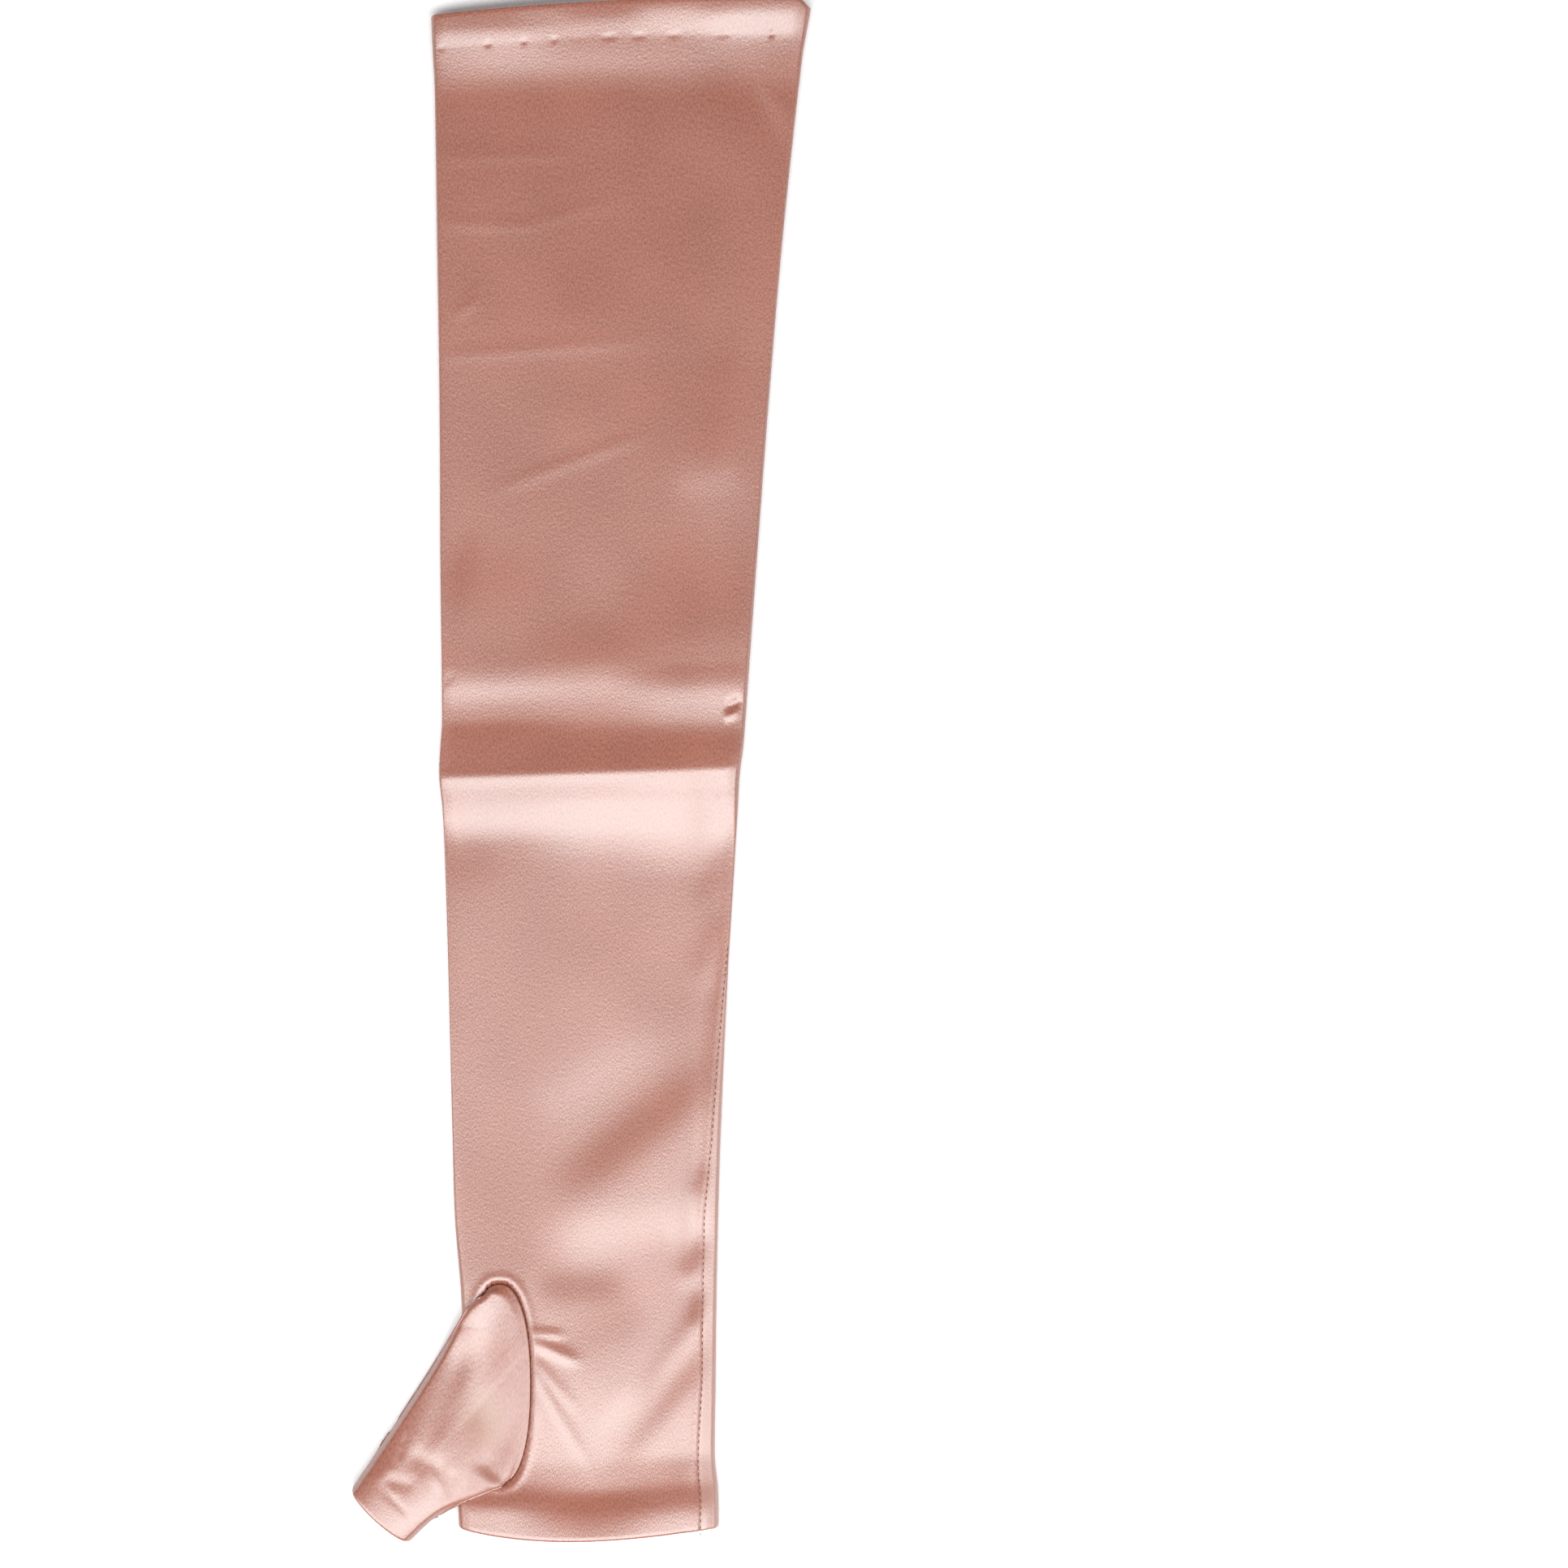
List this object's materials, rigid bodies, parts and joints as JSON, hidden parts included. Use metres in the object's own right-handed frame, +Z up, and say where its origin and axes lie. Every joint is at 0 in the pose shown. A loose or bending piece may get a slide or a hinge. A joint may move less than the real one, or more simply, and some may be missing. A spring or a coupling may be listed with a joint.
{
  "type": "evening mitten",
  "caption": "Opera-length fingerless satin mitten lying flat: tapering arm sleeve with hemmed ends, oval-set open thumb stall and a long side seam.",
  "frame": {"origin": "on the surface that the mitten rests on, below the middle of its bounding box", "axes": "+X across the arm away from the thumb, +Y along the arm from the hand opening to the arm opening, +Z up, out of the palm side"},
  "size_m": [0.167, 0.5625, 0.0131],
  "materials": {
    "satin": "satin",
    "satin_wrong_side": "matte"
  },
  "bodies": {
    "root": {"arm_sleeve": "satin", "thumb_stall": "satin", "arm_hem": "satin_wrong_side", "hand_hem": "satin_wrong_side", "thumb_hem": "satin_wrong_side", "side_seam": "satin_wrong_side", "thumb_seam": "satin_wrong_side"}
  },
  "joints": []
}
